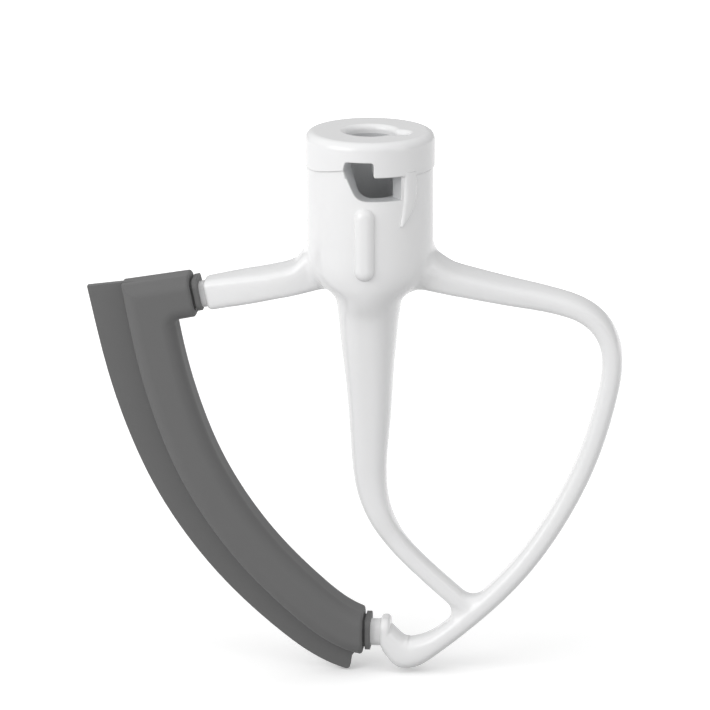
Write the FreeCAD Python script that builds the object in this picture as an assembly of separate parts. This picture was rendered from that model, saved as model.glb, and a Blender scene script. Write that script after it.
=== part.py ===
"""Flat beater of a stand mixer: a coated cast frame with a soft scraping edge.

Lengths are in millimetres. The origin is on the hub's axis, just inside the mouth of the shaft bore.
Z points up along the shaft, X points from the scraping edge to the closed loop, and Y points to the back.
Heights are given as drops below the hub's top face, which is how such a casting is dimensioned.
"""
import math
import os

import FreeCAD
import Part
from FreeCAD import Vector

# Hub and its collar
HUB_TOP = 1.5
BODY_RADIUS = 16.3
COLLAR_STEP = 0.4
COLLAR_RADIUS = BODY_RADIUS + COLLAR_STEP
COLLAR_DEPTH = 9.2
COLLAR_TOP_ROUNDING = 2.2
COLLAR_FOOT_ROUNDING = 0.6
COLLAR_RAMP = 0.2

# Shaft bore, its rounded mouth, and the slot and groove that the drive pin runs in
BORE_RADIUS = 6.45
BORE_DEPTH = 34.0
BORE_POINT = 2.6
MOUTH_ROUNDING = 1.3
PIN_SLOT_WIDTH = 5.0
PIN_SLOT_REACH = 10.4
PIN_SLOT_ANGLE = 75.0
PIN_SLOT_CORNER = 1.6
GROOVE_RADIUS = 11.7
GROOVE_FOOT = 16.4
GROOVE_START = -34.0
GROOVE_END = 88.0

# Window where the pin locks: angles about the hub's axis from the front, positive towards the loop
WINDOW_SHOULDER_ANGLE = -19.4
WINDOW_SHOULDER = 7.2
WINDOW_NOTCH_ANGLE = -17.4
WINDOW_NOTCH_TOP = 4.9
WINDOW_STEP_ANGLE = 8.4
WINDOW_TOP = 8.8
WINDOW_RIGHT_ANGLE = 34.9
WINDOW_FOOT = 15.1
WINDOW_FOOT_ANGLE = -6.5
WINDOW_FOOT_ROUNDING = 4.0
WINDOW_CORNER_ROUNDING = 0.9
WINDOW_STEP_ROUNDING = 0.5
WINDOW_INSIDE = 4.0
WINDOW_OUTSIDE = 19.0

# Raised rib below the window, and the short curved web beside the window
RIB_WIDTH = 5.2
RIB_TOP = 16.8
RIB_FOOT = 35.9
RIB_HEIGHT = 1.7
RIB_ROUNDING = 2.2
WEB_WIDTH = 4.2
WEB_HEIGHT = 0.6
WEB_PATH = [
    (44.5, 8.0, 1.0),
    (44.5, 12.0, 1.0),
    (44.0, 15.0, 1.0),
    (41.0, 18.2, 0.8),
    (37.0, 20.7, 0.45),
    (34.5, 22.0, 0.15),
]

# Sections of the cast limbs: width in the beater's plane, depth across it
POST_TOP_WIDTH = 15.8
POST_TOP_DEPTH = 24.0
FOOT_LINE = [(13.2, 116.2), (20.5, 122.8), (26.5, 128.2)]
FOOT_WIDTH = 4.6
FOOT_DEPTH = 7.6
RIM_WIDTH = 5.2
RIM_DEPTH = 9.0
ARM_ROOT_WIDTH = 6.6
ARM_ROOT_DEPTH = 12.5
LEFT_ARM_END_WIDTH = 8.0
LEFT_ARM_END_DEPTH = 9.0
SPAR_WIDTH = 6.7
SPAR_DEPTH = 6.8
NECK_OVERLAP = 3.0
COLLAR_OVERLAP = 3.0

# Roundings where the limbs run into each other
LEFT_ARM_BLEND = 2.8
RIGHT_ARM_BLEND = 5.8
FOOT_BLEND = 4.0
SHOULDER_ROUNDING = 1.2
HOOK_FACE = 3.0
HOOK_TIP_ROUNDING = 1.1
HOOK_PLATE_WIDTH = 2.6
HOOK_PLATE_TOP = 130.7
HOOK_PLATE_FOOT = 139.0
HOOK_PLATE_CORNER = 2.6
LEFT_FLARE = [(8.0, 6.0), (12.0, 5.0), (15.0, 3.1), (18.0, 1.0), (21.0, 0.2), (24.0, 0.0)]
RIGHT_FLARE = [(8.0, 4.6), (12.0, 3.8), (16.0, 2.2), (20.0, 0.5), (24.0, 0.0)]
POST_MIDDLE = 80.0
LOWEST = 150.0
JOINT_MARGIN = 0.5

# Left arm: where its line crosses the hub's axis, its fall per millimetre and where it ends
LEFT_ARM_DROP = 35.5
LEFT_ARM_FALL = 0.203
LEFT_ARM_END = 42.4

# Soft edge over the spar: centre line from its top corner down to the hook, as (x, drop)
EDGE_LINE = [
    (-59.0, 37.0),
    (-55.9, 54.0),
    (-54.0, 62.8),
    (-50.2, 75.8),
    (-45.0, 88.8),
    (-37.6, 101.8),
    (-27.7, 114.6),
    (-16.6, 125.5),
    (-8.4, 131.8),
    (-1.0, 134.8),
    (5.0, 134.6),
]
EDGE_START = 45.75
EDGE_END = -1.5
EDGE_WIDTH = 12.2
EDGE_FOOT_WIDTH = 10.8
EDGE_TOP_WIDTH = 11.0
EDGE_TOP_FALL = 0.17
EDGE_RISE = 0.7
EDGE_DEPTH = 13.0
EDGE_CORNER = 1.5
EDGE_ROUNDING = 3.5
EDGE_END_ROUNDING = 0.8

# Thin blade along the outside of the soft edge
BLADE_WIDTH = 9.4
BLADE_FOOT_WIDTH = 5.5
BLADE_RISE = 0.5
BLADE_THICKNESS = 2.2
BLADE_END = -5.2
BLADE_SETBACK = 0.9
BLADE_HOLLOW = 2.4
BLADE_CORNER = 1.0

# Stepped lip round each neck: a narrow groove, then a thin ring
GROOVE_INSET = 2.1
GROOVE_WIDTH = 0.6
LIP_INSET = 1.3
LIP_WIDTH = 1.3

SECTION_POINTS = 24
SEAM_ANGLE = math.pi / 2
STATION_STEP = 2.5
EDGE_SAMPLES = 14
JOIN_TOLERANCE = 0.01


def at(x, drop, y=0.0):
    """A point at a height given as a drop below the hub's top face."""
    return Vector(x, y, HUB_TOP - drop)


def section(centre, along, width, depth, lean, square):
    """One closed cross-section of a limb, square to its centre line.

    The outline is a superellipse: square = 2 is an ellipse, and a larger value is nearer to a rectangle.
    """
    outward = Vector(-along.z, 0, along.x)
    back = Vector(0, 1, 0)
    turn = math.radians(lean)
    across = outward * math.cos(turn) - back * math.sin(turn)
    deep = back * math.cos(turn) + outward * math.sin(turn)
    points = []
    for step in range(SECTION_POINTS):
        angle = SEAM_ANGLE + 2 * math.pi * step / SECTION_POINTS
        c = math.cos(angle)
        s = math.sin(angle)
        u = math.copysign(abs(c) ** (2 / square), c) * width / 2
        v = math.copysign(abs(s) ** (2 / square), s) * depth / 2
        points.append(centre + across * u + deep * v)
    curve = Part.BSplineCurve()
    curve.interpolate(Points=points, PeriodicFlag=True)
    return Part.Wire([curve.toShape()])


def slopes(places, values):
    """Slopes of a smooth curve through the values that never overshoots them."""
    steps = [(values[i + 1] - values[i]) / (places[i + 1] - places[i]) for i in range(len(places) - 1)]
    result = [steps[0]]
    for before, after in zip(steps, steps[1:]):
        result.append(0.0 if before * after <= 0 else 2 * before * after / (before + after))
    result.append(steps[-1])
    return result


def between(places, values, place):
    """The value at one place of the smooth curve through the given values."""
    tangents = slopes(places, values)
    i = 0
    while i < len(places) - 2 and place > places[i + 1]:
        i += 1
    gap = places[i + 1] - places[i]
    t = (place - places[i]) / gap
    return (
        (2 * t ** 3 - 3 * t ** 2 + 1) * values[i]
        + (t ** 3 - 2 * t ** 2 + t) * gap * tangents[i]
        + (3 * t ** 2 - 2 * t ** 3) * values[i + 1]
        + (t ** 3 - t ** 2) * gap * tangents[i + 1]
    )


def smooth(points):
    """Smooth curve through the points."""
    curve = Part.BSplineCurve()
    curve.interpolate(Points=points)
    return curve


def limb(stations):
    """A cast limb through stations of (x, drop, width, depth, lean, square)."""
    line = smooth([at(s[0], s[1]) for s in stations])
    places = [line.parameter(at(s[0], s[1])) for s in stations]
    count = max(4, int(line.length() / STATION_STEP))
    wires = []
    for step in range(count + 1):
        place = places[0] + (places[-1] - places[0]) * step / count
        sizes = [between(places, [s[k] for s in stations], place) for k in (2, 3, 4, 5)]
        wires.append(section(line.value(place), line.tangent(place)[0], *sizes))
    return Part.makeLoft(wires, True, False)


def spine():
    """Hub body, post and slanting foot as one tapering form, from the collar down to the loop."""
    body = 2 * BODY_RADIUS
    return limb([
        (0.0, COLLAR_DEPTH - COLLAR_OVERLAP, body, body, 0, 2.0),
        (0.0, 20.0, body, body, 0, 2.0),
        (0.0, 33.0, body, body, 0, 2.0),
        (0.0, 37.5, body - 1.6, body - 0.6, 0, 2.0),
        (0.0, 40.5, body - 9.0, body - 2.0, 0, 2.1),
        (-0.1, 43.5, POST_TOP_WIDTH + 1.6, body - 4.6, 0, 2.3),
        (-0.2, 47.5, POST_TOP_WIDTH, POST_TOP_DEPTH, 0, 2.6),
        (-0.2, 56.0, 14.0, 20.5, 0, 2.8),
        (0.0, 66.0, 12.0, 17.0, 0, 3.0),
        (0.1, 77.0, 10.5, 13.8, 0, 3.0),
        (0.0, 87.0, 9.0, 11.2, 0, 3.0),
        (0.6, 95.0, 7.8, 9.6, 0, 3.0),
        (2.9, 102.8, 6.2, 9.0, 0, 3.0),
        (7.2, 109.8, 5.0, FOOT_DEPTH, 0, 3.0),
    ] + [(x, drop, FOOT_WIDTH, FOOT_DEPTH, 0, 3.0) for x, drop in FOOT_LINE])


def loop():
    """Right arm, corner, rim and hook as one bent bar, cut off upright where the lower neck starts."""
    bar = limb(flared(1, RIGHT_FLARE, [
        (8.0, 36.6, ARM_ROOT_WIDTH, ARM_ROOT_DEPTH, 8, 4.0),
        (24.0, 39.3, 6.3, 11.0, 8, 4.0),
        (37.0, 41.9, 5.7, 10.0, 8, 3.5),
    ]) + [
        (49.5, 44.4, 5.3, RIM_DEPTH, 8, 3.0),
        (55.2, 46.5, RIM_WIDTH, RIM_DEPTH, 6, 3.0),
        (59.2, 49.6, RIM_WIDTH, RIM_DEPTH, 4, 3.0),
        (61.9, 54.2, RIM_WIDTH, RIM_DEPTH, 2, 3.0),
        (62.8, 60.5, RIM_WIDTH, RIM_DEPTH, 0, 3.0),
        (61.35, 70.2, RIM_WIDTH, RIM_DEPTH, 0, 3.0),
        (58.4, 81.1, RIM_WIDTH, RIM_DEPTH, 0, 3.0),
        (54.2, 92.0, RIM_WIDTH, RIM_DEPTH, 0, 3.0),
        (48.5, 103.0, RIM_WIDTH, RIM_DEPTH, 0, 3.0),
        (41.1, 114.2, RIM_WIDTH, RIM_DEPTH, 0, 3.0),
        (33.3, 123.2, RIM_WIDTH, RIM_DEPTH, 0, 3.0),
        (25.2, 130.8, RIM_WIDTH, RIM_DEPTH, 0, 3.0),
        (18.5, 136.3, 5.4, RIM_DEPTH, 0, 3.0),
        (12.6, 139.7, 7.2, RIM_DEPTH, 0, 3.0),
        (9.3, 140.2, 8.2, RIM_DEPTH, 0, 3.0),
        (6.7, 138.4, 6.7, RIM_DEPTH, 0, 3.0),
        (4.3, 135.7, 5.7, RIM_DEPTH, 0, 3.0),
        (2.0, 133.1, 5.0, RIM_DEPTH, 0, 3.0),
    ])
    size = Vector(2 * HOOK_PLATE_WIDTH, 2 * RIM_DEPTH, 3 * RIM_DEPTH)
    inside_plate = at(HOOK_FACE + HOOK_TIP_ROUNDING / 2, HOOK_PLATE_TOP)
    beyond = Part.makeBox(size.x, size.y, size.z, inside_plate - Vector(size.x, size.y / 2, size.z / 2))
    return bar.cut(beyond)


def hook_plate():
    """Rounded upright end of the hook that the lower neck stands out of."""
    corner = at(HOOK_FACE, HOOK_PLATE_FOOT, -RIM_DEPTH / 2)
    plate = Part.makeBox(HOOK_PLATE_WIDTH, RIM_DEPTH, HOOK_PLATE_FOOT - HOOK_PLATE_TOP, corner)
    level = [edge for edge in plate.Edges if edge.BoundBox.XLength > JOIN_TOLERANCE]
    plate = plate.makeFillet(HOOK_PLATE_CORNER, level)
    return plate.makeFillet(HOOK_TIP_ROUNDING, [edge for edge in plate.Edges
                                                if edge.BoundBox.XLength < JOIN_TOLERANCE])


def left_arm_drop(x):
    """How far the left arm's centre line lies below the hub's top face at this X."""
    return LEFT_ARM_DROP - LEFT_ARM_FALL * x


def flared(side, root, stations):
    """Arm stations with the root's flare added on top, where the arm runs up into the hub."""
    reach = [place for place, flare in root]
    flares = [flare for place, flare in root]
    places = [abs(station[0]) for station in stations]
    result = []
    for place in sorted(set(reach + places)):
        x, drop, width, depth, lean, square = [
            between(places, [station[k] for station in stations], place) for k in range(6)]
        flare = between(reach, flares, place) if place < reach[-1] else 0.0
        result.append((side * place, drop - flare / 2, width + flare, depth, lean, square))
    return result


def left_arm():
    """Arm to the scraping edge, up to its rounded shoulder."""
    return limb(flared(-1, LEFT_FLARE, [
        (-8.0, left_arm_drop(-8.0), ARM_ROOT_WIDTH, ARM_ROOT_DEPTH, -4, 5.0),
        (-24.0, left_arm_drop(-24.0), 7.3, 12.0, -4, 5.0),
        (-33.0, left_arm_drop(-33.0), 7.8, 10.8, -3, 5.0),
        (-LEFT_ARM_END, left_arm_drop(-LEFT_ARM_END), LEFT_ARM_END_WIDTH, LEFT_ARM_END_DEPTH, 0, 5.0),
    ]))


def spar():
    """Necks at both ends of the soft edge and the bar between them, which the edge hides."""
    corner = [(x, left_arm_drop(x)) for x in (NECK_OVERLAP - LEFT_ARM_END, -NECK_OVERLAP - LEFT_ARM_END)]
    corner += [(-50.6, 46.4), (-54.6, 49.4)]
    return limb([(x, drop, SPAR_WIDTH, SPAR_DEPTH, 0, 3.0) for x, drop in corner + EDGE_LINE[1:]])


def edges_between(solid, low, high):
    """Edges that lie wholly inside the box between two corners."""
    box = FreeCAD.BoundBox(low, high)
    return [edge for edge in solid.Edges if box.isInside(edge.BoundBox)]


def round_end(bar, end, radius):
    """The bar with the rim of its end face nearest to a point rounded."""
    rims = [edge for edge in bar.Edges if edge.isClosed()]
    return bar.makeFillet(radius, [min(rims, key=lambda edge: edge.CenterOfMass.distanceToPoint(end))])


def rings_at(shape, drop):
    """Closed edges that lie level at this drop."""
    height = HUB_TOP - drop
    return [edge for edge in shape.Edges
            if edge.isClosed() and abs(edge.BoundBox.ZMin - height) < JOIN_TOLERANCE
            and abs(edge.BoundBox.ZMax - height) < JOIN_TOLERANCE]


def collar():
    """Thick ring at the hub's top, rounded above and below."""
    ring = Part.makeCylinder(COLLAR_RADIUS, COLLAR_DEPTH, at(0, COLLAR_DEPTH))
    ring = ring.makeFillet(COLLAR_TOP_ROUNDING, rings_at(ring, 0))
    ring = ring.makeFillet(COLLAR_FOOT_ROUNDING, rings_at(ring, COLLAR_DEPTH))
    edge = round_the_axis(WINDOW_SHOULDER_ANGLE, COLLAR_RADIUS, WINDOW_SHOULDER)
    low_corner = edge - Vector(COLLAR_RADIUS, 0, COLLAR_DEPTH)
    under = Part.makeBox(COLLAR_RADIUS, 2 * COLLAR_RADIUS, COLLAR_DEPTH, low_corner)
    under.translate(Vector(0, -2 * COLLAR_RADIUS - edge.y, 0))
    under.rotate(edge, Vector(0, 1, 0), -math.degrees(math.atan(COLLAR_RAMP)))
    return ring.cut(under)


def round_the_axis(angle, radius, drop):
    """A point at an angle from the front about the hub's axis, positive towards the loop."""
    turn = math.radians(angle)
    return at(radius * math.sin(turn), drop, -radius * math.cos(turn))


WINDOW_CORNERS = [
    (WINDOW_SHOULDER_ANGLE, WINDOW_SHOULDER, WINDOW_CORNER_ROUNDING),
    (WINDOW_NOTCH_ANGLE, WINDOW_NOTCH_TOP, WINDOW_CORNER_ROUNDING),
    (WINDOW_STEP_ANGLE, WINDOW_NOTCH_TOP, WINDOW_CORNER_ROUNDING),
    (WINDOW_STEP_ANGLE, WINDOW_TOP, WINDOW_STEP_ROUNDING),
    (WINDOW_RIGHT_ANGLE, WINDOW_TOP, None),
    (WINDOW_RIGHT_ANGLE, WINDOW_FOOT, None),
    (WINDOW_FOOT_ANGLE, WINDOW_FOOT, WINDOW_FOOT_ROUNDING),
]


def window_outline(distance):
    """The window's outline in the upright plane at this distance from the axis, its sides radial."""
    middle = (WINDOW_SHOULDER_ANGLE + WINDOW_RIGHT_ANGLE) / 2
    points = [round_the_axis(angle, distance / math.cos(math.radians(angle - middle)), drop)
              for angle, drop, rounding in WINDOW_CORNERS]
    return Part.makePolygon(points + points[:1])


def corner_edge(cutter, angle, drop):
    """The cutter's edge that points away from the axis nearest to this angle and drop."""
    def miss(edge):
        total = 0.0
        for end in (edge.valueAt(edge.FirstParameter), edge.valueAt(edge.LastParameter)):
            total += end.distanceToPoint(round_the_axis(angle, math.hypot(end.x, end.y), drop))
        return total
    return min(cutter.Edges, key=miss)


def window():
    """Cutter for the window, with the rounded corners that the pin slides over."""
    cutter = Part.makeLoft([window_outline(WINDOW_INSIDE), window_outline(WINDOW_OUTSIDE)], True, True)
    for angle, drop, rounding in WINDOW_CORNERS:
        if rounding:
            cutter = cutter.makeFillet(rounding, [corner_edge(cutter, angle, drop)])
    return cutter


def pin_slot():
    """Cutter for the slot that lets the drive pin down beside the bore."""
    turn = math.radians(PIN_SLOT_ANGLE)
    outward = Vector(math.sin(turn), -math.cos(turn), 0)
    side = Vector(math.cos(turn), math.sin(turn), 0)
    half = PIN_SLOT_WIDTH / 2
    start = at(0, 0) + side * half
    end = at(0, 0) - side * half
    reach = outward * (PIN_SLOT_REACH - half)
    tip = at(0, 0) + outward * PIN_SLOT_REACH
    outline = Part.Wire([
        Part.LineSegment(end, start).toShape(),
        Part.LineSegment(start, start + reach).toShape(),
        Part.Arc(start + reach, tip, end + reach).toShape(),
        Part.LineSegment(end + reach, end).toShape(),
    ])
    return Part.Face(outline).extrude(Vector(0, 0, -GROOVE_FOOT))


def groove(start, end, top):
    """Cutter for the stretch of the pin's groove between two angles."""
    upward = Vector(0, 0, 1)
    sector = Part.makeCylinder(GROOVE_RADIUS, GROOVE_FOOT - top, at(0, GROOVE_FOOT), upward, end - start)
    sector.rotate(Vector(0, 0, 0), Vector(0, 0, 1), start - 90)
    return sector


def shaft_hollow():
    """Everything that the shaft and its drive pin need cleared inside the hub."""
    bore = Part.makeCylinder(BORE_RADIUS, BORE_DEPTH, at(0, BORE_DEPTH))
    point = Part.makeCone(0, BORE_RADIUS, BORE_POINT, at(0, BORE_DEPTH + BORE_POINT))
    throat = bore.fuse([pin_slot()]).removeSplitter()
    upright = [edge for edge in throat.Edges
               if abs(edge.Length - GROOVE_FOOT) < JOIN_TOLERANCE
               and abs(math.hypot(edge.CenterOfMass.x, edge.CenterOfMass.y) - BORE_RADIUS) < JOIN_TOLERANCE]
    throat = throat.makeFillet(PIN_SLOT_CORNER, upright)
    return throat.fuse([
        point,
        groove(GROOVE_START, WINDOW_STEP_ANGLE, WINDOW_NOTCH_TOP),
        groove(WINDOW_STEP_ANGLE, GROOVE_END, WINDOW_TOP),
        window(),
    ])


def rib():
    """Rounded bar that stands proud on the front of the hub below the window."""
    half = RIB_WIDTH / 2
    inside = BODY_RADIUS - 2 * RIB_HEIGHT
    top = at(0, RIB_TOP, -inside)
    foot = at(0, RIB_FOOT, -inside)
    side = Vector(half, 0, 0)
    up = Vector(0, 0, half)
    outline = Part.Wire([
        Part.Arc(top - up - side, top, top - up + side).toShape(),
        Part.LineSegment(top - up + side, foot + up + side).toShape(),
        Part.Arc(foot + up + side, foot, foot + up - side).toShape(),
        Part.LineSegment(foot + up - side, top - up - side).toShape(),
    ])
    bar = Part.Face(outline).extrude(Vector(0, -3 * RIB_HEIGHT, 0))
    face = -inside - 3 * RIB_HEIGHT
    return bar.makeFillet(RIB_ROUNDING, [edge for edge in bar.Edges
                                         if edge.BoundBox.YMax < face + JOIN_TOLERANCE])


def web():
    """Short raised web that runs down beside the window and curls in below it."""
    wires = []
    for angle, drop, share in WEB_PATH:
        centre = round_the_axis(angle, BODY_RADIUS - WEB_HEIGHT, drop)
        wires.append(section(centre, Vector(0, 0, -1), WEB_WIDTH * share, 4 * WEB_HEIGHT, -angle, 3.0))
    return Part.makeLoft(wires, True, False)


def beater_frame():
    """The whole casting."""
    arm = round_end(left_arm(), at(-LEFT_ARM_END, left_arm_drop(-LEFT_ARM_END)), SHOULDER_ROUNDING)
    whole = spine().fuse([loop(), hook_plate(), arm, spar(), collar(), rib(), web()])
    reach = COLLAR_RADIUS
    web_foot = WEB_PATH[-1][1] + JOINT_MARGIN
    foot = FOOT_LINE[-1][0]
    foot_low = at(foot - RIM_DEPTH, LOWEST, -RIM_DEPTH)
    foot_high = at(foot + RIM_DEPTH, POST_MIDDLE, RIM_DEPTH)
    joints = (
        (LEFT_ARM_BLEND, at(-reach, POST_MIDDLE, -reach), at(-RIB_WIDTH, web_foot, reach)),
        (RIGHT_ARM_BLEND, at(RIB_WIDTH, POST_MIDDLE, -reach), at(reach, web_foot, reach)),
        (FOOT_BLEND, foot_low, foot_high),
    )
    for radius, low, high in joints:
        edges = edges_between(whole, low, high)
        whole = whole.makeFillet(radius, edges)
    whole = whole.cut(shaft_hollow())
    inside = COLLAR_RADIUS - COLLAR_TOP_ROUNDING - MOUTH_ROUNDING
    mouth = edges_between(whole, at(-inside, JOIN_TOLERANCE, -inside), at(inside, -JOIN_TOLERANCE, inside))
    return whole.makeFillet(MOUTH_ROUNDING, mouth)


def edge_taper(line, first, last):
    """Size that changes evenly along the soft edge, as a function of the distance along its line."""
    return lambda distance: first + (last - first) * distance / line.length()


def beside(line, distance, offset):
    """The point beside the edge's line at a distance along it, offset towards the blade."""
    place = line.parameterAtDistance(distance, line.FirstParameter)
    along = line.tangent(place)[0]
    return line.value(place) + Vector(along.z, 0, -along.x) * offset


def side_curve(line, offset, started, ended):
    """The curve beside the edge's line, between the places where it passes two limits."""
    limits = []
    for passed in (started, ended):
        low = 0.0
        high = line.length()
        while high - low > JOIN_TOLERANCE / 10:
            middle = (low + high) / 2
            if passed(beside(line, middle, offset(middle))):
                high = middle
            else:
                low = middle
        limits.append(high)
    points = []
    for step in range(EDGE_SAMPLES + 1):
        distance = limits[0] + (limits[1] - limits[0]) * step / EDGE_SAMPLES
        points.append(beside(line, distance, offset(distance)))
    return smooth(points)


def edge_top():
    """Centre of the soft edge's upper end face, and the directions out of it and up along it."""
    slope = math.atan(LEFT_ARM_FALL)
    centre = at(-EDGE_START, left_arm_drop(-EDGE_START) - EDGE_RISE)
    return centre, Vector(math.cos(slope), 0, math.sin(slope)), Vector(-math.sin(slope), 0, math.cos(slope))


def prism(edges, depth):
    """Solid with this outline in the beater's plane, centred front to back."""
    solid = Part.Face(Part.Wire(edges)).extrude(Vector(0, depth, 0))
    solid.translate(Vector(0, -depth / 2, 0))
    return solid


def straight(start, end):
    """Straight edge between two points."""
    return Part.LineSegment(start, end).toShape()


def corner_at(solid, point, depth):
    """The edge that runs front to back through a corner of a prism's outline."""
    return [edge for edge in solid.Edges
            if abs(edge.BoundBox.YLength - depth) < JOIN_TOLERANCE
            and edge.distToShape(Part.Vertex(point))[0] < JOIN_TOLERANCE
            and len(edge.Vertexes) == 2 and edge.BoundBox.DiagonalLength < depth + JOIN_TOLERANCE]


def edge_lip(centre, outward, width):
    """Groove and ring that step out of one end face of the soft edge."""
    parts = []
    start = centre - outward * EDGE_END_ROUNDING
    for inset, reach in ((GROOVE_INSET, EDGE_END_ROUNDING + GROOVE_WIDTH), (LIP_INSET, LIP_WIDTH)):
        half = outward.cross(Vector(0, 1, 0)) * (width / 2 - inset)
        end = start + outward * reach
        corners = [start + half, end + half, end - half, start - half]
        outline = [straight(a, b) for a, b in zip(corners, corners[1:] + corners[:1])]
        step = prism(outline, EDGE_DEPTH - 2 * inset)
        long_edges = [edge for edge in step.Edges if abs(edge.Length - reach) < JOIN_TOLERANCE]
        parts.append(step.makeFillet(EDGE_ROUNDING - inset, long_edges))
        start = start + outward * reach
    return parts


def flex_edge():
    """Soft edge moulded round the spar, with its blade."""
    line = smooth([at(x, drop) for x, drop in EDGE_LINE])
    width = edge_taper(line, EDGE_WIDTH, EDGE_FOOT_WIDTH)
    blade_width = edge_taper(line, BLADE_WIDTH, BLADE_FOOT_WIDTH)
    centre, outward, up = edge_top()
    top = centre + up * (EDGE_TOP_WIDTH / 2)
    foot = centre - up * (EDGE_TOP_WIDTH / 2)

    def below_top(point):
        return point.z < top.z + (point.x - top.x) * EDGE_TOP_FALL

    def below_blade_top(point):
        return below_top(point - Vector(0, 0, BLADE_RISE))

    def below_foot(point):
        return point.z < foot.z + (point.x - foot.x) * LEFT_ARM_FALL

    def at_end(point):
        return point.x > EDGE_END

    def at_blade_end(point):
        return point.x > BLADE_END

    ridge = side_curve(line, lambda s: width(s) / 2, below_top, at_end)
    inner = side_curve(line, lambda s: -width(s) / 2, below_foot, at_end)
    outer = side_curve(line, lambda s: width(s) / 2 + blade_width(s), below_blade_top, at_blade_end)
    body = prism([
        straight(foot, top),
        straight(top, ridge.StartPoint),
        ridge.toShape(),
        straight(ridge.EndPoint, inner.EndPoint),
        inner.toShape(),
        straight(inner.StartPoint, foot),
    ], EDGE_DEPTH)
    inner_corner = inner.StartPoint - Vector(0, EDGE_DEPTH / 2, 0)
    body = body.makeFillet(EDGE_CORNER, corner_at(body, inner_corner, EDGE_DEPTH))
    foot_centre = (ridge.EndPoint + inner.EndPoint) / 2
    foot_width = (inner.EndPoint - ridge.EndPoint).Length
    ends = [(centre, outward, EDGE_TOP_WIDTH), (foot_centre, Vector(1, 0, 0), foot_width)]

    def on_end(point):
        return any(abs((point - end[0]).dot(end[1])) < JOIN_TOLERANCE for end in ends)

    sides = [edge for edge in body.Edges
             if abs(abs(edge.BoundBox.Center.y) - EDGE_DEPTH / 2) < JOIN_TOLERANCE
             and not on_end(edge.valueAt((edge.FirstParameter + edge.LastParameter) / 2))]
    body = body.makeFillet(EDGE_ROUNDING, sides)
    rims = [edge for face in body.Faces if on_end(face.CenterOfMass) for edge in face.Edges]
    body = body.makeFillet(EDGE_END_ROUNDING, rims)
    core = side_curve(line, lambda s: 0.0, below_top, lambda point: point.x > EDGE_END - BLADE_SETBACK)
    root = ridge.value(ridge.parameterAtDistance(ridge.length() - BLADE_SETBACK, ridge.FirstParameter))
    side = root - Vector(BLADE_HOLLOW, 0, BLADE_HOLLOW)
    slant = BLADE_HOLLOW * math.sqrt(0.5)
    deepest = Vector(root.x - slant, 0, side.z + slant)
    blade_top = ridge.StartPoint + Vector(1, 0, EDGE_TOP_FALL) * EDGE_ROUNDING
    blade = prism([
        straight(core.StartPoint, blade_top),
        straight(blade_top, outer.StartPoint),
        outer.toShape(),
        straight(outer.EndPoint, side),
        Part.Arc(side, deepest, root).toShape(),
        straight(root, core.EndPoint),
        core.toShape(),
    ], BLADE_THICKNESS)
    corner = outer.EndPoint - Vector(0, BLADE_THICKNESS / 2, 0)
    blade = blade.makeFillet(BLADE_CORNER, corner_at(blade, corner, BLADE_THICKNESS))
    lips = [lip for middle, out, size in ends for lip in edge_lip(middle, out, size)]
    return body.fuse([blade] + lips).cut(spar())


def main():
    """Build each piece and write it to its own file."""
    os.makedirs("parts", exist_ok=True)
    for name, shape in (("beater_frame", beater_frame()), ("flex_edge", flex_edge())):
        print(name, shape.isValid(), round(shape.Volume), len(shape.Solids))
        shape.exportStep("parts/" + name + ".step")


main()
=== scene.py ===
"""Looks of a stand mixer's flat beater: a powder coated casting with a soft scraping edge on one side.

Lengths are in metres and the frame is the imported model's own: the origin lies on the hub's axis, 1.5 mm
below the hub's top face, Z points up, X points from the soft edge to the closed loop and Y to the back.
"""
import logging
from dataclasses import dataclass
from enum import Enum
from typing import Any

import bmesh
import bpy
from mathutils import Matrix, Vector


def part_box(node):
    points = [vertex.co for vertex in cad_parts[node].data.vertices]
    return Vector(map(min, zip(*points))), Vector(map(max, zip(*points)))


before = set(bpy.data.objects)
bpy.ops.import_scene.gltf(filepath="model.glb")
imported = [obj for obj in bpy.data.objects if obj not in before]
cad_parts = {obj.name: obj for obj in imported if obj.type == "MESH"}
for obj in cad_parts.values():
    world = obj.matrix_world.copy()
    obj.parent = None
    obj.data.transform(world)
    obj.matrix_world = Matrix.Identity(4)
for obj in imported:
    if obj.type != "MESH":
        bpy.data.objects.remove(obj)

MM = 0.001
PHOTO_PIXELS = 710

logging.basicConfig(level=logging.INFO, format="%(message)s")
log = logging.getLogger("beater")


def linear(hex_colour: str) -> tuple[float, float, float, float]:
    """Turn an sRGB hex colour into the linear colour that the shaders work in.

    Args:
        hex_colour: six hex digits, with or without a leading hash sign.

    Returns:
        Linear red, green, blue and an alpha of 1.
    """
    digits = hex_colour.lstrip("#")
    parts = []
    for start in (0, 2, 4):
        value = int(digits[start:start + 2], 16) / 255
        parts.append(value / 12.92 if value <= 0.04045 else ((value + 0.055) / 1.055) ** 2.4)
    return (parts[0], parts[1], parts[2], 1.0)


def add_node(tree: bpy.types.NodeTree, kind: str, settings: dict[str, Any] | None = None,
             inputs: dict[Any, Any] | None = None) -> bpy.types.Node:
    """Add one node to a tree, with its settings, its constant inputs and its links.

    Args:
        tree: the node tree that gets the node.
        kind: the node's type, such as "ShaderNodeTexNoise".
        settings: attributes of the node, by name.
        inputs: what each input gets, by name or number: a plain value, or the output socket to link to it.

    Returns:
        The new node.
    """
    node = tree.nodes.new(kind)
    for name, value in (settings or {}).items():
        setattr(node, name, value)
    for name, value in (inputs or {}).items():
        if isinstance(value, bpy.types.NodeSocket):
            tree.links.new(value, node.inputs[name])
        else:
            node.inputs[name].default_value = value
    return node


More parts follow.
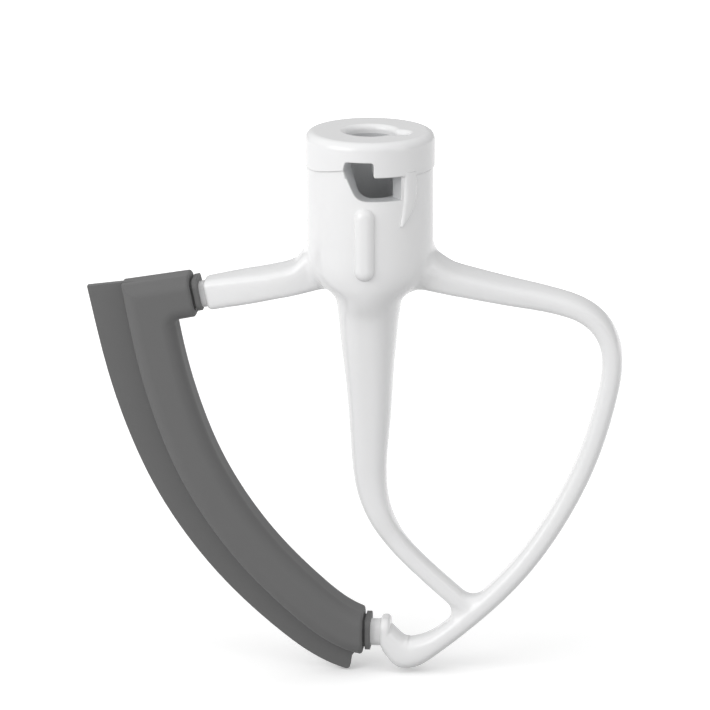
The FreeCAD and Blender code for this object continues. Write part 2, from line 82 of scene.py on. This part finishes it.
def new_material(name: str) -> tuple[bpy.types.Material, bpy.types.NodeTree]:
    """Make a material whose node tree is empty.

    Args:
        name: the material's name.

    Returns:
        The material and its node tree.
    """
    material = bpy.data.materials.new(name)
    material.use_nodes = True
    material.node_tree.nodes.clear()
    return material, material.node_tree


def per_metre(size_mm: float) -> float:
    """Scale of a texture whose features measure this many millimetres."""
    return 1 / (size_mm * MM)


class Node(Enum):
    """The part's two pieces, by the names of their nodes."""

    CASTING = "beater_frame"
    EDGE = "flex_edge"


@dataclass(frozen=True)
class PowderCoat:
    """White epoxy powder coat, baked on a die cast aluminium body.

    The coat is thick and glossy with a faint orange peel, so a soft lamp shows in it as a pale band.
    Inside the hub the aluminium is bare. Its dull oxide skin scatters much of the light, so it looks
    light grey and matt, with fine tool marks round the axis.
    """

    colour: str = "#ECECEC"
    shaded_colour: str = "#E8E8E9"
    roughness: float = 0.20
    roughness_spread: float = 0.03
    tint_patch_mm: float = 22.0
    ior: float = 1.52
    peel_mm: float = 1.1
    peel_height_mm: float = 0.006
    metal_colour: str = "#D0D1D2"
    metal_roughness: float = 0.60
    metal_share: float = 0.35
    metal_roughness_spread: float = 0.08
    tool_mark_mm: float = 0.35
    tool_mark_stretch: float = 0.05
    tool_mark_height_mm: float = 0.012
    bare_radius_mm: float = 15.9
    bare_top_mm: float = -0.7
    bare_foot_mm: float = -15.6
    bore_radius_mm: float = 7.2
    bore_foot_mm: float = -36.0
    edge_rounding_mm: float = 0.45

    def build(self) -> bpy.types.Material:
        """Make the material: the coat outside, bare aluminium inside the hub."""
        material, tree = new_material("baked_white_powder_coat_on_cast_aluminium")
        place = add_node(tree, "ShaderNodeTexCoord").outputs["Object"]
        peel = add_node(tree, "ShaderNodeTexNoise", {"noise_dimensions": "3D"}, {
            "Vector": place, "Scale": per_metre(self.peel_mm), "Detail": 2.0, "Roughness": 0.5})
        soft = add_node(tree, "ShaderNodeBevel", {"samples": 6}, {"Radius": self.edge_rounding_mm * MM})
        peel_bump = add_node(tree, "ShaderNodeBump", None, {
            "Height": peel.outputs["Fac"], "Distance": self.peel_height_mm * MM, "Strength": 1.0,
            "Normal": soft.outputs["Normal"]})
        cloud = add_node(tree, "ShaderNodeTexNoise", None, {
            "Vector": place, "Scale": per_metre(self.tint_patch_mm), "Detail": 1.0})
        tint = add_node(tree, "ShaderNodeMix", {"data_type": "RGBA"}, {
            "Factor": cloud.outputs["Fac"], "A": linear(self.colour), "B": linear(self.shaded_colour)})
        gloss = add_node(tree, "ShaderNodeMapRange", None, {
            "Value": peel.outputs["Fac"], "To Min": self.roughness - self.roughness_spread,
            "To Max": self.roughness + self.roughness_spread})
        coat = add_node(tree, "ShaderNodeBsdfPrincipled", None, {
            "Base Color": tint.outputs["Result"], "Roughness": gloss.outputs["Result"],
            "IOR": self.ior, "Normal": peel_bump.outputs["Normal"]})
        metal = self.metal(tree, place)
        mask = self.bare(tree, place)
        mixed = add_node(tree, "ShaderNodeMixShader", None, {0: mask, 1: coat.outputs[0], 2: metal})
        add_node(tree, "ShaderNodeOutputMaterial", None, {"Surface": mixed.outputs[0]})
        return material

    def metal(self, tree: bpy.types.NodeTree, place: bpy.types.NodeSocket) -> bpy.types.NodeSocket:
        """Bare aluminium with a dull skin, and tool marks that run round the bore.

        Args:
            tree: the material's node tree.
            place: the Object coordinates.

        Returns:
            The shader's output.
        """
        stretch = (self.tool_mark_stretch, self.tool_mark_stretch, 1.0)
        stretched = add_node(tree, "ShaderNodeMapping", None, {"Vector": place, "Scale": stretch})
        marks = add_node(tree, "ShaderNodeTexNoise", None, {
            "Vector": stretched.outputs[0], "Scale": per_metre(self.tool_mark_mm), "Detail": 3.0})
        bump = add_node(tree, "ShaderNodeBump", None, {
            "Height": marks.outputs["Fac"], "Distance": self.tool_mark_height_mm * MM})
        shade = add_node(tree, "ShaderNodeMapRange", None, {
            "Value": marks.outputs["Fac"], "To Min": self.metal_roughness - self.metal_roughness_spread,
            "To Max": self.metal_roughness + self.metal_roughness_spread})
        return add_node(tree, "ShaderNodeBsdfPrincipled", None, {
            "Base Color": linear(self.metal_colour), "Metallic": self.metal_share,
            "Roughness": shade.outputs["Result"], "Normal": bump.outputs["Normal"]}).outputs[0]

    def bare(self, tree: bpy.types.NodeTree, place: bpy.types.NodeSocket) -> bpy.types.NodeSocket:
        """Where the aluminium is bare: inside the hub's wall, below the coated mouth of the bore.

        Args:
            tree: the material's node tree.
            place: the Object coordinates.

        Returns:
            A factor of 1 on bare metal and 0 on the coat.
        """
        parts = add_node(tree, "ShaderNodeSeparateXYZ", None, {"Vector": place})
        flat = add_node(tree, "ShaderNodeCombineXYZ", None, {
            "X": parts.outputs["X"], "Y": parts.outputs["Y"]})
        length = add_node(tree, "ShaderNodeVectorMath", {"operation": "LENGTH"}, {0: flat.outputs[0]})
        radius = length.outputs["Value"]
        height = parts.outputs["Z"]

        def test(operation: str, value: bpy.types.NodeSocket, limit_mm: float) -> bpy.types.NodeSocket:
            """Compare a socket with a length in millimetres.

            Args:
                operation: the comparison, as the Math node names it.
                value: the socket to compare, in metres.
                limit_mm: the length.

            Returns:
                A factor of 1 where the comparison holds.
            """
            return add_node(tree, "ShaderNodeMath", {"operation": operation}, {
                0: value, 1: limit_mm * MM}).outputs[0]

        def both(first: bpy.types.NodeSocket, second: bpy.types.NodeSocket) -> bpy.types.NodeSocket:
            """The product of two factors."""
            return add_node(tree, "ShaderNodeMath", {"operation": "MULTIPLY"}, {
                0: first, 1: second}).outputs[0]

        chamber = both(test("LESS_THAN", radius, self.bare_radius_mm),
                       test("GREATER_THAN", height, self.bare_foot_mm))
        bore = both(test("LESS_THAN", radius, self.bore_radius_mm),
                    test("GREATER_THAN", height, self.bore_foot_mm))
        either = add_node(tree, "ShaderNodeMath", {"operation": "MAXIMUM"}, {
            0: chamber, 1: bore}).outputs[0]
        return both(either, test("LESS_THAN", height, self.bare_top_mm))


@dataclass(frozen=True)
class MouldedElastomer:
    """Grey thermoplastic elastomer, injection moulded over the casting's spar.

    The mould's fine spark-eroded texture makes it matte, with a soft broad sheen and no sharp reflection.
    """

    colour: str = "#646464"
    roughness: float = 0.66
    roughness_spread: float = 0.05
    gloss_patch_mm: float = 14.0
    ior: float = 1.45
    grain_mm: float = 0.45
    grain_height_mm: float = 0.010
    sheen: float = 0.08
    sheen_roughness: float = 0.5
    edge_rounding_mm: float = 0.3

    def build(self) -> bpy.types.Material:
        """Make the material."""
        material, tree = new_material("moulded_grey_thermoplastic_elastomer")
        place = add_node(tree, "ShaderNodeTexCoord").outputs["Object"]
        grain = add_node(tree, "ShaderNodeTexNoise", None, {
            "Vector": place, "Scale": per_metre(self.grain_mm), "Detail": 2.0})
        soft = add_node(tree, "ShaderNodeBevel", {"samples": 6}, {"Radius": self.edge_rounding_mm * MM})
        bump = add_node(tree, "ShaderNodeBump", None, {
            "Height": grain.outputs["Fac"], "Distance": self.grain_height_mm * MM,
            "Normal": soft.outputs["Normal"]})
        cloud = add_node(tree, "ShaderNodeTexNoise", None, {
            "Vector": place, "Scale": per_metre(self.gloss_patch_mm), "Detail": 2.0})
        gloss = add_node(tree, "ShaderNodeMapRange", None, {
            "Value": cloud.outputs["Fac"], "To Min": self.roughness - self.roughness_spread,
            "To Max": self.roughness + self.roughness_spread})
        shader = add_node(tree, "ShaderNodeBsdfPrincipled", None, {
            "Base Color": linear(self.colour), "Roughness": gloss.outputs["Result"], "IOR": self.ior,
            "Sheen Weight": self.sheen, "Sheen Roughness": self.sheen_roughness,
            "Normal": bump.outputs["Normal"]})
        add_node(tree, "ShaderNodeOutputMaterial", None, {"Surface": shader.outputs[0]})
        return material


@dataclass
class Casting:
    """The cast frame: hub, arms, post, loop, hook and the spar inside the soft edge."""

    node: str = Node.CASTING.value

    def build(self, finish: PowderCoat) -> bpy.types.Object:
        """Dress the casting.

        Args:
            finish: its coat and bare metal.

        Returns:
            The object shown.
        """
        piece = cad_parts[self.node]
        piece.data.materials.clear()
        piece.data.materials.append(finish.build())
        log.info("casting: %d faces", len(piece.data.polygons))
        return piece


@dataclass
class SoftEdge:
    """The soft edge: body, blade and the stepped lips round the necks."""

    node: str = Node.EDGE.value

    def build(self, finish: MouldedElastomer) -> bpy.types.Object:
        """Dress the soft edge.

        Args:
            finish: its elastomer.

        Returns:
            The object shown.
        """
        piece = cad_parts[self.node]
        piece.data.materials.clear()
        piece.data.materials.append(finish.build())
        log.info("soft edge: %d faces", len(piece.data.polygons))
        return piece


@dataclass(frozen=True)
class SoftLamp:
    """One rectangular soft lamp: where it stands, the point that it faces, its width and height."""

    name: str
    place_mm: tuple[float, float, float]
    size_mm: tuple[float, float]
    watts: float
    aim_mm: tuple[float, float, float] = (0.0, 0.0, -60.0)

    def build(self) -> None:
        """Put the lamp in the scene."""
        data = bpy.data.lights.new(self.name, "AREA")
        data.shape = "RECTANGLE"
        data.size = self.size_mm[0] * MM
        data.size_y = self.size_mm[1] * MM
        data.energy = self.watts
        lamp = bpy.data.objects.new(self.name, data)
        place = Vector(self.place_mm)
        lamp.location = place * MM
        lamp.rotation_euler = (Vector(self.aim_mm) - place).to_track_quat("-Z", "Y").to_euler()
        bpy.context.scene.collection.objects.link(lamp)
        log.info("lamp %s: %.1f W", self.name, self.watts)


@dataclass
class Studio:
    """White sweep, soft lamps and the camera, which stands where the photograph was taken from."""

    camera_mm: tuple[float, float, float] = (113.4, -1264.4, 287.6)
    aim: tuple[float, float, float] = (-0.0891, 0.9607, -0.2628)
    focal_pixels: float = 5077.8
    sensor_mm: float = 36.0
    clip_m: tuple[float, float] = (0.1, 20.0)
    floor_gap_mm: float = 0.4
    floor_half_m: float = 6.0
    bright_side: tuple[float, float, float] = (-0.25, -0.45, 0.85)
    wall_dark: float = 0.26
    wall_bright: float = 0.88
    paper: str = "#B8B8B8"
    seen_paper: str = "#FFFFFF"
    near_mm: float = 150.0
    far_mm: float = 700.0
    near_glow: float = 0.18
    far_glow: float = 0.50
    lamps: tuple[SoftLamp, ...] = (
        SoftLamp("key", (-950.0, -820.0, 450.0), (1100.0, 900.0), 9.0),
        SoftLamp("fill", (900.0, -500.0, 300.0), (500.0, 900.0), 1.3),
    )

    def camera(self) -> None:
        """Put the camera where the photograph was taken from."""
        data = bpy.data.cameras.new("camera")
        data.sensor_width = self.sensor_mm
        data.lens = self.focal_pixels * self.sensor_mm / PHOTO_PIXELS
        data.clip_start, data.clip_end = self.clip_m
        camera = bpy.data.objects.new("camera", data)
        camera.location = Vector(self.camera_mm) * MM
        camera.rotation_euler = Vector(self.aim).to_track_quat("-Z", "Y").to_euler()
        bpy.context.scene.collection.objects.link(camera)
        bpy.context.scene.camera = camera

    def floor(self, lowest: float) -> None:
        """White floor just under the part, which shows the soft shadow.

        What the camera and reflections see is whiter than what lights the part, and it glows more far away,
        where the lamps reach less.

        Args:
            lowest: the part's lowest height.
        """
        mesh = bpy.data.meshes.new("floor")
        sheet = bmesh.new()
        bmesh.ops.create_grid(sheet, x_segments=1, y_segments=1, size=self.floor_half_m)
        bmesh.ops.translate(sheet, verts=sheet.verts, vec=(0, 0, lowest - self.floor_gap_mm * MM))
        sheet.to_mesh(mesh)
        sheet.free()
        floor = bpy.data.objects.new("floor", mesh)
        bpy.context.scene.collection.objects.link(floor)
        material, tree = new_material("white_paper_sweep")
        path = add_node(tree, "ShaderNodeLightPath")
        seen = add_node(tree, "ShaderNodeMath", {"operation": "MAXIMUM"}, {
            0: path.outputs["Is Camera Ray"], 1: path.outputs["Is Glossy Ray"]})
        place = add_node(tree, "ShaderNodeTexCoord").outputs["Object"]
        away = add_node(tree, "ShaderNodeVectorMath", {"operation": "LENGTH"}, {0: place})
        strength = add_node(tree, "ShaderNodeMapRange", None, {
            "Value": away.outputs["Value"], "From Min": self.near_mm * MM, "From Max": self.far_mm * MM,
            "To Min": self.near_glow, "To Max": self.far_glow})
        matt = add_node(tree, "ShaderNodeBsdfDiffuse", None, {"Color": linear(self.paper)})
        white = add_node(tree, "ShaderNodeBsdfDiffuse", None, {"Color": linear(self.seen_paper)})
        glow = add_node(tree, "ShaderNodeEmission", None, {
            "Color": (1, 1, 1, 1), "Strength": strength.outputs["Result"]})
        bright = add_node(tree, "ShaderNodeAddShader", None, {0: white.outputs[0], 1: glow.outputs[0]})
        mixed = add_node(tree, "ShaderNodeMixShader", None, {
            0: seen.outputs[0], 1: matt.outputs[0], 2: bright.outputs[0]})
        add_node(tree, "ShaderNodeOutputMaterial", None, {"Surface": mixed.outputs[0]})
        mesh.materials.append(material)

    def world(self) -> None:
        """Pale surroundings, brighter above and to the front left. The camera sees plain white there."""
        world = bpy.data.worlds.new("studio")
        bpy.context.scene.world = world
        world.use_nodes = True
        tree = world.node_tree
        tree.nodes.clear()
        path = add_node(tree, "ShaderNodeLightPath")
        towards = add_node(tree, "ShaderNodeTexCoord").outputs["Generated"]
        turned = add_node(tree, "ShaderNodeVectorMath", {"operation": "DOT_PRODUCT"}, {
            0: towards, 1: Vector(self.bright_side).normalized()}).outputs["Value"]
        lit = add_node(tree, "ShaderNodeMapRange", None, {
            "Value": turned, "From Min": -1.0, "From Max": 1.0,
            "To Min": self.wall_dark, "To Max": self.wall_bright})
        strength = add_node(tree, "ShaderNodeMix", None, {
            0: path.outputs["Is Camera Ray"], 2: lit.outputs["Result"], 3: 1.0})
        back = add_node(tree, "ShaderNodeBackground", None, {
            "Color": (1, 1, 1, 1), "Strength": strength.outputs[0]})
        add_node(tree, "ShaderNodeOutputWorld", None, {"Surface": back.outputs[0]})

    def build(self, lowest: float) -> None:
        """Set up the whole studio round the part.

        Args:
            lowest: the part's lowest height.
        """
        self.camera()
        self.floor(lowest)
        self.world()
        for lamp in self.lamps:
            lamp.build()
        bpy.context.scene.view_settings.view_transform = "Standard"


def main() -> None:
    """Dress the part, set up the studio and note the sizes."""
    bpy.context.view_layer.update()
    Casting().build(PowderCoat())
    SoftEdge().build(MouldedElastomer())
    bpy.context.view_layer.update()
    lowest = min(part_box(node)[0].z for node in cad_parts)
    Studio().build(lowest)
    log.info("studio: floor at %.1f mm", lowest / MM)


if __name__ == "__main__":
    main()
